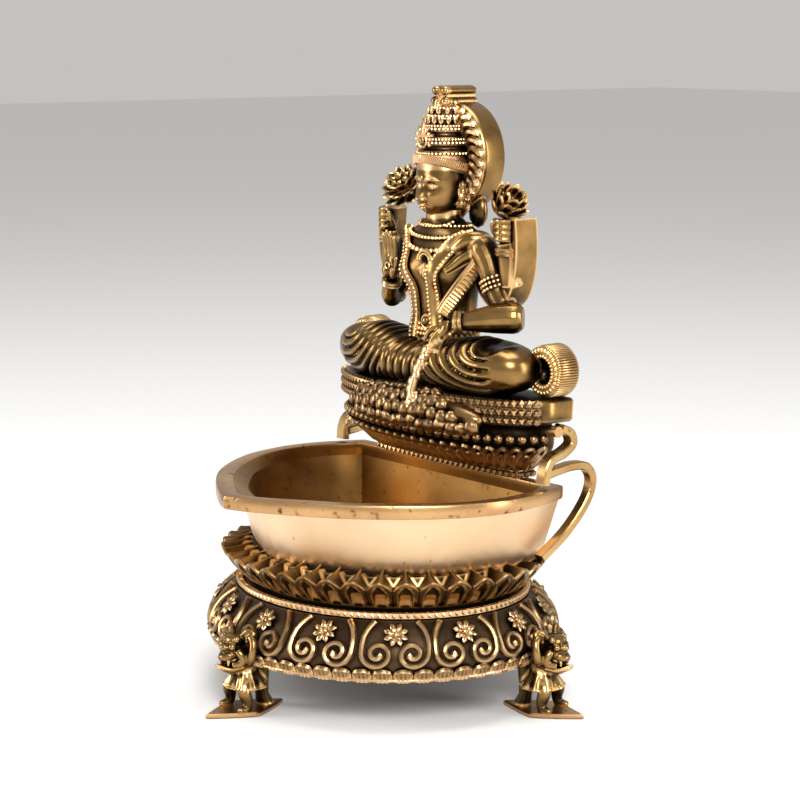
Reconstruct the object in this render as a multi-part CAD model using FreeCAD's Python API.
import FreeCAD, Part
import math
import os

# Cast brass oil lamp: a leaf-shaped oil bowl on a lotus collar and a three-footed skirt base,
# with a seated four-armed goddess on a lotus pedestal over the bowl's back wall.
# Millimetres. +Z up, the spout points to -Y, the figure's left side is +X.
# Everything is laid out about the middle of the base, and moved at the end so that the
# origin is the bottom centre of the whole lamp's box.

V = FreeCAD.Vector

# ---- driving dimensions ----

# tripod feet
foot_plate_length = 25.0
foot_plate_width = 14.0
foot_plate_thickness = 1.3
front_foot_reach = 46.5
rear_foot_reach = 52.4
rear_foot_angle = 17.7
lion_leg_spread = 3.6
lion_leg_radius = 2.1
lion_body_radius = 5.2
lion_head_radius = 4.6
lion_head_height = 18.2
lion_head_lean = 3.0
lug_radius = 2.6
lug_setback = 5.5

# base skirt: a flaring oval shell with a closed deck
skirt_bottom = 13.5
skirt_top = 28.3
skirt_bottom_half = (49.0, 45.2)
skirt_belly_half = (50.0, 46.0)
skirt_belly_height = 19.5
skirt_shoulder_half = (47.4, 42.4)
skirt_shoulder_height = 25.2
deck_half = (44.3, 38.8)
skirt_wall = 2.2
border_height = 4.1
border_proud = 0.8
scroll_band_height = 9.6
scroll_proud = 1.0
rosette_count = 15
rosette_first_angle = -84.0
rosette_radius = 2.6
rosette_proud = 0.6
rosette_height = 24.8

# rope ring and neck
rope_half = (43.3, 37.8)
rope_radius = 1.1
neck_half = (41.2, 35.7)
neck_height = 2.7

# lotus collar under the bowl
petal_count = 40
petal_tip_half = (47.8, 42.0)
petal_tip_centre = 1.1
petal_tip_rise = 6.6
petal_lip = 0.9
petal_top_half = (44.6, 37.6)
petal_top_rise = 10.2
petal_scallop = 0.9

# leaf-shaped oil bowl
rim_half = [(0.0, -52.4), (5.5, -50.2), (13.0, -46.0), (21.2, -40.9), (29.5, -34.6), (37.0, -27.0),
            (42.7, -19.3), (47.6, -10.0), (50.3, 2.0), (48.6, 15.5), (44.4, 27.5)]
wall_top_half = [(0.0, -41.0), (5.5, -40.2), (13.0, -37.4), (21.0, -33.4), (29.5, -27.0),
                 (37.0, -20.4), (42.7, -13.4), (46.6, -6.0), (49.0, 3.0), (47.5, 15.5),
                 (43.4, 26.5)]
shoulder_half = [(0.0, -36.0), (6.0, -35.2), (12.0, -32.8), (18.5, -30.0), (25.0, -26.6),
                 (31.5, -22.0), (37.0, -16.0), (41.0, -8.5), (43.0, 2.0), (42.2, 13.5),
                 (40.2, 24.0)]
shoulder_rise = 11.0
foot_share = 0.82
bowl_height = 24.8
bowl_wall = 2.6
bowl_floor = 7.0
rim_height = 3.8
rim_width = 4.0

# straps at the bowl's back corners
bracket_x = 45.0
bracket_width = 3.8
bracket_thickness = 2.2
handle_x = 43.6
handle_width = 3.6
handle_thickness = 2.7
handle_reach = 37.8

# lotus pedestal over the back wall
pedestal_centre = 23.0
pedestal_back = 29.0
lower_bead_half = (31.5, 2.6)
lower_bead_height = 2.2
pedestal_foot_half = (31.0, 1.8)
pedestal_swell_half = (39.0, 15.4)
pedestal_swell_rise = 7.0
pedestal_top_half = (40.4, 17.0)
pedestal_height = 14.2
pedestal_petal_band = (1.2, 8.6)
pedestal_petal_proud = 1.2
pedestal_bead_band = (8.9, 11.5)
pedestal_bead_proud = 1.4

# seat
seat_half = (44.4, 17.6)
seat_centre = 24.4
seat_back = 31.0
seat_height = 6.8
seat_bead_proud = 1.3
seat_bead_margin = 0.5
bolster_radius = 7.2
bolster_length = 8.0
bolster_front = 23.5
bolster_x = 39.2

# figure
legs_half = (39.2, 13.5, 14.0)
legs_centre = 19.0
legs_sink = 1.2
lap_rise = 13.2
torso_sections = [(11.5, 7.6, 20.0, 0.0), (9.8, 6.6, 19.8, 5.0), (14.0, 8.0, 20.2, 15.5),
                  (17.6, 7.8, 21.3, 25.0), (13.0, 6.2, 21.6, 29.0), (6.8, 5.2, 21.2, 31.0)]
torso_height = 31.0
head_sections = [(4.6, 4.8, 21.4, 0.0), (4.8, 5.0, 21.4, 3.0), (6.4, 7.0, 21.4, 5.5),
                 (7.6, 8.0, 21.6, 10.5), (7.0, 7.4, 21.7, 16.5)]
head_height = 16.5
crown_sections = [(7.4, 7.8, 21.7, 0.0), (7.3, 7.6, 21.7, 3.0), (6.7, 7.2, 21.9, 7.0),
                  (5.2, 5.9, 22.3, 13.0), (3.2, 3.9, 22.8, 18.0)]
arm_radius = 3.1
wrist_radius = 2.3
palm_radius = 3.0
rear_arm_y = 26.0
lotus_radius = 4.2
lotus_height = 9.5
lotus_x = 24.6
lotus_base_rise = 4.0
earring_radius = 1.9
necklace_radius = 1.1
necklace_ring = 6.6
coin_heap_half = (31.0, 8.0, 7.4)
coin_heap_centre = (7.0, 8.4)
coin_heap_rise = 1.6
coin_stream_radius = 3.2

# halo
halo_radius = 15.4
halo_centre_rise = 2.0
halo_front = 26.0
halo_back = 31.0
halo_petal_inner = 8.8
halo_petal_outer = 14.4
halo_petal_depth = 2.2
finial_width = 7.0
finial_front = 19.5
finial_foot_rise = 13.1
finial_height = 6.4

# ---- heights that stack on each other ----

deck_z = skirt_top
bowl_z = deck_z + neck_height
rim_z = bowl_z + bowl_height
rim_top_z = rim_z + rim_height
pedestal_z = rim_top_z + lower_bead_height
seat_z = pedestal_z + pedestal_height
seat_top_z = seat_z + seat_height
lap_z = seat_top_z + lap_rise
neck_z = lap_z + torso_height
crown_z = neck_z + head_height
lotus_base_z = neck_z + lotus_base_rise
halo_centre_z = crown_z + halo_centre_rise
finial_foot_z = halo_centre_z + finial_foot_rise
lamp_height = finial_foot_z + finial_height


# ---- shape helpers ----

def ellipse_wire(half_x, half_y, centre_y, z):
    """A level oval; the longer half may lie along X or Y."""
    centre = V(0, centre_y, z)
    if half_x >= half_y:
        curve = Part.Ellipse(centre, half_x, half_y)
    else:
        curve = Part.Ellipse(centre + V(0, half_y, 0), centre + V(half_x, 0, 0), centre)
    return Part.Wire([curve.toShape()])


def oval_stack(sections, base_z, growth=0.0):
    """A smooth solid through level ovals given as (half_x, half_y, centre_y, rise)."""
    wires = []
    for half_x, half_y, centre_y, rise in sections:
        wires.append(ellipse_wire(half_x + growth, half_y + growth, centre_y, base_z + rise))
    return Part.makeLoft(wires, True, False)


def half_oval_wire(half_x, half_y, centre_y, back_y, z):
    """A D-shaped outline: half an oval at the front, square at the back."""
    oval = Part.Ellipse(V(0, centre_y, z), half_x, half_y)
    front = Part.ArcOfEllipse(oval, math.pi, 2 * math.pi).toShape()
    right_front = V(half_x, centre_y, z)
    right_back = V(half_x, back_y, z)
    left_back = V(-half_x, back_y, z)
    left_front = V(-half_x, centre_y, z)
    edges = [front,
             Part.makeLine(right_front, right_back),
             Part.makeLine(right_back, left_back),
             Part.makeLine(left_back, left_front)]
    return Part.Wire(edges)


def half_oval_slab(half, centre_y, back_y, z, height, growth=0.0):
    wire = half_oval_wire(half[0] + growth, half[1] + growth, centre_y, back_y, z)
    return Part.Face(wire).extrude(V(0, 0, height))


def scalloped_wire(half, centre_y, z, count, depth):
    """An oval zigzag with `count` points standing out by `depth`."""
    points = []
    for step in range(2 * count):
        angle = math.pi * step / count
        stand_out = depth if step % 2 == 0 else -depth
        points.append(V((half[0] + stand_out) * math.cos(angle),
                        centre_y + (half[1] + stand_out) * math.sin(angle), z))
    return Part.makePolygon(points + [points[0]])


def level_slab(low_z, high_z):
    """A wide slab used to keep only what lies between two heights."""
    width = 4 * rear_foot_reach
    return Part.makeBox(width, width, high_z - low_z, V(-width / 2, -width / 2, low_z))


def back_half_space(front_y):
    """A block that takes away everything behind front_y."""
    width = 4 * rear_foot_reach
    return Part.makeBox(width, width, 2 * lamp_height, V(-width / 2, front_y, 0))


def leaf_wire(half, z):
    """A closed leaf outline from its right half: pointed in front, straight at the back."""
    right = [V(x, y, z) for x, y in half]
    left = [V(-x, y, z) for x, y in reversed(half)]
    right_curve = Part.BSplineCurve()
    right_curve.interpolate(right)
    left_curve = Part.BSplineCurve()
    left_curve.interpolate(left)
    edges = [right_curve.toShape(), Part.makeLine(right[-1], left[0]), left_curve.toShape()]
    return Part.Wire(edges)


def inset_leaf(half, distance):
    """The same leaf made smaller all round, its back corners kept square."""
    moved = []
    for x, y in half[:-1]:
        share = 1 - distance / math.hypot(x, y)
        moved.append((x * share, y * share))
    corner_x, corner_y = half[-1]
    moved.append((corner_x - distance, corner_y - distance))
    return moved


def scaled_leaf(half, share):
    return [(x * share, y * share) for x, y in half]


def strap(route, thickness, middle_x, width):
    """A flat strap of even thickness bent along a route of (y, z) points."""
    spine = Part.BSplineCurve()
    spine.interpolate([V(middle_x - width / 2, y, z) for y, z in route])
    stations = 4 * len(route)
    faces_along = []
    for side in (1, -1):
        points = []
        for station in range(stations + 1):
            share = station / stations
            at = spine.FirstParameter + share * (spine.LastParameter - spine.FirstParameter)
            along = spine.tangent(at)[0]
            across = V(0, -along.z, along.y)
            points.append(spine.value(at) + across * (side * thickness / 2))
        curve = Part.BSplineCurve()
        curve.interpolate(points)
        faces_along.append((curve.toShape(), points))
    (upper, upper_points), (lower, lower_points) = faces_along
    edges = [upper, Part.makeLine(upper_points[-1], lower_points[-1]),
             lower, Part.makeLine(lower_points[0], upper_points[0])]
    wire = Part.Wire(Part.__sortEdges__(edges))
    return Part.Face(wire).extrude(V(width, 0, 0))


def limb(points, radii):
    """A rounded bar through points, each section square to the bend."""
    wires = []
    last = len(points) - 1
    for index, point in enumerate(points):
        before = points[max(index - 1, 0)]
        after = points[min(index + 1, last)]
        heading = (point - before).normalize() if index > 0 else (after - point).normalize()
        if 0 < index < last:
            heading = (heading + (after - point).normalize()).normalize()
        circle = Part.Circle(point, heading, radii[index])
        wires.append(Part.Wire([circle.toShape()]))
    return Part.makeLoft(wires, True, True)


def ellipsoid(centre, half):
    ball = Part.makeSphere(1.0)
    stretch = FreeCAD.Matrix()
    stretch.scale(V(*half))
    shape = ball.transformGeometry(stretch)
    shape.translate(V(*centre))
    return shape


def around(shape, angle, reach):
    """Moves a foot piece, drawn pointing to +X, out to its place on the tripod."""
    placed = shape.copy()
    placed.translate(V(reach, 0, 0))
    placed.rotate(V(0, 0, 0), V(0, 0, 1), angle)
    return placed


def mirrored(shape):
    return shape.mirror(V(0, 0, 0), V(1, 0, 0))


# ---- base ----

def foot_plate():
    """A pointed oval plate that rests on the table."""
    half = foot_plate_length / 2
    side = foot_plate_width / 2
    inner = V(-half, 0, 0)
    outer = V(half, 0, 0)
    one_side = Part.Arc(inner, V(0, side, 0), outer).toShape()
    other_side = Part.Arc(outer, V(0, -side, 0), inner).toShape()
    return Part.Face(Part.Wire([one_side, other_side])).extrude(V(0, 0, foot_plate_thickness))


def lion_foot():
    """A lion standing on the plate, with the lug behind it that holds the skirt."""
    ground = foot_plate_thickness
    belly_z = (ground + skirt_bottom) / 2 + 2.5
    pieces = []
    for side in (1, -1):
        paw = V(3.0, side * lion_leg_spread, ground)
        hip = V(0.5, side * lion_leg_spread * 0.7, belly_z)
        pieces.append(limb([paw, hip], [lion_leg_radius * 1.25, lion_leg_radius]))
    body_low = V(-0.5, 0, belly_z - 2.0)
    body_high = V(lion_head_lean * 0.6, 0, lion_head_height - 2.5)
    pieces.append(limb([body_low, body_high], [lion_body_radius, lion_body_radius * 0.85]))
    head = Part.makeSphere(lion_head_radius, V(lion_head_lean, 0, lion_head_height))
    pieces.append(head)
    lug = Part.makeCylinder(lug_radius, skirt_bottom - ground, V(-lug_setback, 0, ground))
    pieces.append(lug)
    body = pieces[0].multiFuse(pieces[1:])
    return body


def skirt_sections(growth=0.0):
    return [(skirt_bottom_half[0] + growth, skirt_bottom_half[1] + growth, 0.0, 0.0),
            (skirt_belly_half[0] + growth, skirt_belly_half[1] + growth, 0.0,
             skirt_belly_height - skirt_bottom),
            (skirt_shoulder_half[0] + growth, skirt_shoulder_half[1] + growth, 0.0,
             skirt_shoulder_height - skirt_bottom),
            (deck_half[0] + growth, deck_half[1] + growth, 0.0, skirt_top - skirt_bottom)]


def skirt_block(growth=0.0):
    return oval_stack(skirt_sections(growth), skirt_bottom)


def base_skirt():
    hollow = skirt_block(-skirt_wall).common(level_slab(skirt_bottom, skirt_top - skirt_wall))
    return skirt_block().cut(hollow)


def skirt_band(low_z, high_z, proud):
    """A raised band that hugs the outside of the skirt."""
    return skirt_block(proud).common(level_slab(low_z, high_z)).cut(skirt_block())


def skirt_rosettes():
    """Round bosses spaced evenly round the skirt, on the scroll band."""
    bosses = []
    half_x, half_y = skirt_shoulder_half
    for index in range(rosette_count):
        angle = math.radians(rosette_first_angle) + 2 * math.pi * index / rosette_count
        outward = V(half_y * math.cos(angle), half_x * math.sin(angle), 0).normalize()
        foot = V((half_x - 2.0) * math.cos(angle), (half_y - 2.0) * math.sin(angle), rosette_height)
        length = 2.0 + scroll_proud + rosette_proud
        bosses.append(Part.makeCylinder(rosette_radius, length, foot, outward))
    core = skirt_block(scroll_proud)
    return [boss.cut(core) for boss in bosses]


def rope_ring():
    ring = Part.makeTorus(rope_half[0], rope_radius)
    squeeze = FreeCAD.Matrix()
    squeeze.scale(V(1, rope_half[1] / rope_half[0], 1))
    oval = ring.transformGeometry(squeeze)
    oval.translate(V(0, 0, deck_z + rope_radius))
    return oval


def neck_flange():
    return Part.Face(ellipse_wire(neck_half[0], neck_half[1], 0.0, deck_z)).extrude(V(0, 0, neck_height))


# ---- bowl ----

def bowl_block():
    """The bowl's outside, from the neck up to the underside of the rim."""
    foot = leaf_wire(scaled_leaf(shoulder_half, foot_share), bowl_z)
    shoulder = leaf_wire(shoulder_half, bowl_z + shoulder_rise)
    top = leaf_wire(wall_top_half, rim_z)
    return Part.makeLoft([foot, shoulder, top], True, True)


def bowl():
    floor_half = inset_leaf(scaled_leaf(shoulder_half, foot_share), bowl_wall)
    floor = leaf_wire(floor_half, bowl_z + bowl_floor)
    shoulder = leaf_wire(inset_leaf(shoulder_half, bowl_wall), bowl_z + shoulder_rise)
    top = leaf_wire(inset_leaf(wall_top_half, bowl_wall), rim_z)
    return bowl_block().cut(Part.makeLoft([floor, shoulder, top], True, True))


def rim_band():
    """A flat-topped band that stands out over the wall, its inside leaning like the wall."""
    outer = Part.Face(leaf_wire(rim_half, rim_z)).extrude(V(0, 0, rim_height))
    low = leaf_wire(inset_leaf(wall_top_half, bowl_wall), rim_z)
    high = leaf_wire(inset_leaf(rim_half, rim_width), rim_top_z)
    return outer.cut(Part.makeLoft([low, high], True, True))


def lotus_collar():
    """A ring of petals round the bowl, wedge-shaped in section."""
    tip_z = bowl_z + petal_tip_rise
    top_z = bowl_z + petal_top_rise
    wires = [scalloped_wire(neck_half, 0.0, bowl_z, petal_count, petal_scallop * 0.3),
             scalloped_wire(petal_tip_half, petal_tip_centre, tip_z, petal_count, petal_scallop),
             scalloped_wire(petal_tip_half, petal_tip_centre, tip_z + petal_lip, petal_count,
                            petal_scallop),
             scalloped_wire(petal_top_half, 0.0, top_z, petal_count, petal_scallop * 0.3)]
    return Part.makeLoft(wires, True, True).cut(bowl_block())


# ---- straps ----

def scroll_bracket():
    """An S-shaped strap from the rim's back corner up to the seat."""
    low = rim_top_z + bracket_thickness / 2
    high = seat_z - bracket_thickness / 2
    rise = high - low
    route = [(19.8, low), (20.4, low + 0.26 * rise), (22.2, low + 0.45 * rise),
             (26.4, low + 0.55 * rise), (29.3, low + 0.70 * rise), (28.6, low + 0.90 * rise),
             (25.4, high)]
    return strap(route, bracket_thickness, bracket_x, bracket_width)


def handle():
    """A loop that leaves the bracket and comes back to the bowl's side."""
    start_z = rim_top_z + 3.2
    route = [(20.6, start_z + 0.2), (25.6, start_z + 1.0), (30.4, start_z + 1.6),
             (35.4, start_z + 0.9),
             (handle_reach, start_z - 2.6), (35.6, start_z - 8.6), (28.8, start_z - 16.0),
             (20.0, start_z - 22.0)]
    return strap(route, handle_thickness, handle_x, handle_width)


# ---- pedestal and seat ----

def pedestal_block(growth=0.0):
    levels = [(pedestal_foot_half, 0.0), (pedestal_swell_half, pedestal_swell_rise),
              (pedestal_top_half, pedestal_height)]
    wires = []
    for half, rise in levels:
        wires.append(half_oval_wire(half[0] + growth, half[1] + growth, pedestal_centre,
                                    pedestal_back, pedestal_z + rise))
    return Part.makeLoft(wires, True, True)


def pedestal_band(band, proud):
    slab = level_slab(pedestal_z + band[0], pedestal_z + band[1])
    return pedestal_block(proud).common(slab).cut(pedestal_block())


def lower_bead_row():
    return half_oval_slab(lower_bead_half, pedestal_centre, pedestal_back, rim_top_z,
                          lower_bead_height)


def seat_platform():
    return half_oval_slab(seat_half, seat_centre, seat_back, seat_z, seat_height)


def seat_bead_rows():
    band = half_oval_slab(seat_half, seat_centre, seat_back, seat_z + seat_bead_margin,
                          seat_height - 2 * seat_bead_margin, seat_bead_proud)
    return band.cut(seat_platform())


def bolster():
    centre = V(bolster_x, bolster_front, seat_top_z + bolster_radius)
    return Part.makeCylinder(bolster_radius, bolster_length, centre, V(0, 1, 0))


# ---- figure ----

def crossed_legs(bolsters):
    centre = (0.0, legs_centre, seat_top_z + legs_sink)
    body = ellipsoid(centre, legs_half).common(level_slab(seat_top_z, lap_z))
    body = body.cut(back_half_space(seat_back))
    return body.cut(bolsters)


def torso():
    return oval_stack(torso_sections, lap_z)


def head():
    return oval_stack(head_sections, neck_z).cut(back_half_space(halo_front))


def crown():
    return oval_stack(crown_sections, crown_z).cut(back_half_space(halo_front))


def blessing_arm():
    """Front right arm, the hand raised with an open palm."""
    route = [V(-15.5, 21.0, neck_z - 7.0), V(-21.5, 19.5, lap_z + 9.5),
             V(-18.0, 15.6, lap_z + 15.0), V(-16.2, 14.6, lap_z + 19.0),
             V(-15.8, 14.2, lap_z + 27.0)]
    return limb(route, [arm_radius, arm_radius, wrist_radius, palm_radius, wrist_radius])


def giving_arm():
    """Front left arm, the hand lowered over the lap."""
    route = [V(16.0, 21.0, neck_z - 7.0), V(26.2, 21.5, lap_z + 10.5),
             V(17.5, 12.0, lap_z + 6.2), V(9.0, 8.5, lap_z + 3.0)]
    return limb(route, [arm_radius, arm_radius, wrist_radius, palm_radius])


def rear_arm():
    """A rear arm that bends up and out behind the shoulder to hold a lotus."""
    route = [V(14.5, rear_arm_y, neck_z - 5.0), V(26.0, rear_arm_y, lap_z + 13.0),
             V(27.4, rear_arm_y, lap_z + 25.0), V(lotus_x, rear_arm_y, lotus_base_z)]
    return limb(route, [arm_radius, arm_radius, wrist_radius, palm_radius])


def lotus_bud():
    wires = []
    for radius, share in ((1.6, 0.0), (0.92 * lotus_radius, 0.3), (lotus_radius, 0.6), (1.8, 1.0)):
        centre = V(lotus_x, rear_arm_y, lotus_base_z + share * lotus_height)
        wires.append(Part.Wire([Part.Circle(centre, V(0, 0, 1), radius).toShape()]))
    return Part.makeLoft(wires, True, True)


def earring():
    return Part.makeSphere(earring_radius, V(8.4, 21.0, neck_z + 6.0))


def necklace():
    ring = Part.makeTorus(necklace_ring, necklace_radius)
    ring.translate(V(0, 20.6, neck_z))
    return ring


def coin_heap(neighbours):
    centre = (coin_heap_centre[0], coin_heap_centre[1], seat_z + coin_heap_rise)
    return ellipsoid(centre, coin_heap_half).cut(neighbours)


def coin_stream():
    route = [V(9.0, 6.6, lap_z + 2.0), V(8.6, 3.0, lap_z - 7.0), V(8.2, 1.4, seat_top_z - 2.0)]
    return limb(route, [coin_stream_radius * 0.8, coin_stream_radius, coin_stream_radius * 1.2])


# ---- halo ----

def halo():
    disc = Part.makeCylinder(halo_radius, halo_back - halo_front, V(0, halo_front, halo_centre_z),
                             V(0, 1, 0))
    return disc


def halo_petals():
    start = V(0, halo_front - halo_petal_depth, halo_centre_z)
    outer = Part.makeCylinder(halo_petal_outer, halo_petal_depth, start, V(0, 1, 0))
    inner = Part.makeCylinder(halo_petal_inner, halo_petal_depth, start, V(0, 1, 0))
    return outer.cut(inner)


def halo_finial():
    return Part.makeBox(finial_width, halo_back - finial_front, finial_height,
                        V(-finial_width / 2, finial_front, finial_foot_z))


# ---- the whole lamp ----

def base_pieces():
    skirt = base_skirt()
    outside = skirt_block()
    plate = foot_plate()
    lion = lion_foot()
    pieces = {}
    feet = (("front", -90.0, front_foot_reach), ("left", rear_foot_angle, rear_foot_reach),
            ("right", 180.0 - rear_foot_angle, rear_foot_reach))
    band_top = skirt_bottom + border_height + scroll_band_height
    border = skirt_band(skirt_bottom, skirt_bottom + border_height, border_proud)
    scrolls = skirt_band(skirt_bottom + border_height, band_top, scroll_proud)
    bosses = skirt_rosettes()
    for name, angle, reach in feet:
        pieces[name + "_foot_plate"] = around(plate, angle, reach)
        stand = around(lion, angle, reach).cut(outside).cut(border).cut(scrolls)
        stand = stand.cut(pieces[name + "_foot_plate"])
        for boss in bosses:
            stand = stand.cut(boss)
        pieces[name + "_lion_foot"] = stand
    pieces["base_skirt"] = skirt
    pieces["skirt_border"] = border
    pieces["skirt_scrolls"] = scrolls
    pieces["skirt_rosettes"] = Part.makeCompound(bosses)
    pieces["rope_ring"] = rope_ring()
    pieces["neck_flange"] = neck_flange()
    return pieces


def bowl_pieces(seat):
    outside = bowl_block()
    rim = rim_band()
    bracket = scroll_bracket().cut(rim)
    for name in ("pedestal_core", "pedestal_petals", "pedestal_bead_row", "seat_platform",
                 "seat_bead_rows"):
        bracket = bracket.cut(seat[name])
    loop = handle().cut(rim).cut(outside).cut(bracket)
    pieces = {"lotus_collar": lotus_collar(), "oil_bowl": bowl(), "rim_band": rim}
    pieces["left_scroll_bracket"] = bracket
    pieces["right_scroll_bracket"] = mirrored(bracket)
    pieces["left_handle"] = loop.cut(pieces["lotus_collar"])
    pieces["right_handle"] = mirrored(pieces["left_handle"])
    return pieces


def seat_pieces():
    pieces = {"lower_bead_row": lower_bead_row(),
              "pedestal_core": pedestal_block(),
              "pedestal_petals": pedestal_band(pedestal_petal_band, pedestal_petal_proud),
              "pedestal_bead_row": pedestal_band(pedestal_bead_band, pedestal_bead_proud),
              "seat_platform": seat_platform(),
              "seat_bead_rows": seat_bead_rows()}
    pieces["left_bolster"] = bolster()
    pieces["right_bolster"] = mirrored(pieces["left_bolster"])
    return pieces


def figure_pieces(seat):
    bolsters = Part.makeCompound([seat["left_bolster"], seat["right_bolster"]])
    legs = crossed_legs(bolsters)
    body = torso()
    face = head()
    cap = crown()
    blessing = blessing_arm().cut(body).cut(legs)
    giving = giving_arm().cut(body).cut(legs)
    left_rear = rear_arm().cut(body).cut(giving).cut(level_slab(lotus_base_z, lamp_height))
    right_rear = mirrored(rear_arm()).cut(body).cut(blessing)
    right_rear = right_rear.cut(level_slab(lotus_base_z, lamp_height))
    disc = halo()
    pieces = {"crossed_legs": legs, "torso": body, "head": face, "crown": cap,
              "blessing_arm": blessing, "giving_arm": giving,
              "left_rear_arm": left_rear, "right_rear_arm": right_rear,
              "left_lotus": lotus_bud(), "right_lotus": mirrored(lotus_bud()),
              "left_earring": earring().cut(face), "right_earring": mirrored(earring().cut(face)),
              "necklace": necklace().cut(body).cut(face), "halo": disc,
              "halo_petals": halo_petals().cut(face).cut(cap),
              "halo_finial": halo_finial().cut(disc).cut(cap)}
    pieces["halo_finial"] = pieces["halo_finial"].cut(pieces["halo_petals"])
    below = [seat["seat_platform"], seat["seat_bead_rows"], seat["pedestal_core"],
             seat["pedestal_petals"], seat["pedestal_bead_row"], legs]
    heap = coin_heap(below)
    pieces["coin_heap"] = heap
    pieces["coin_stream"] = coin_stream().cut(heap).cut(legs).cut(giving)
    return pieces


def all_pieces():
    seat = seat_pieces()
    pieces = base_pieces()
    pieces.update(bowl_pieces(seat))
    pieces.update(seat)
    pieces.update(figure_pieces(seat))
    return pieces


def origin_shift(pieces):
    """How far the base's middle lies from the middle of the whole lamp, front to back."""
    boxes = [shape.optimalBoundingBox() for shape in pieces.values()]
    return -(min(box.YMin for box in boxes) + max(box.YMax for box in boxes)) / 2


os.makedirs("parts", exist_ok=True)
lamp = all_pieces()
shift = V(0, origin_shift(lamp), 0)
for name, shape in lamp.items():
    placed = shape.copy()
    placed.translate(shift)
    placed.exportStep("parts/" + name + ".step")
    print(name, "solids", len(placed.Solids), "volume", round(placed.Volume, 1), placed.isValid())
print("moved along Y by", round(shift.y, 3))
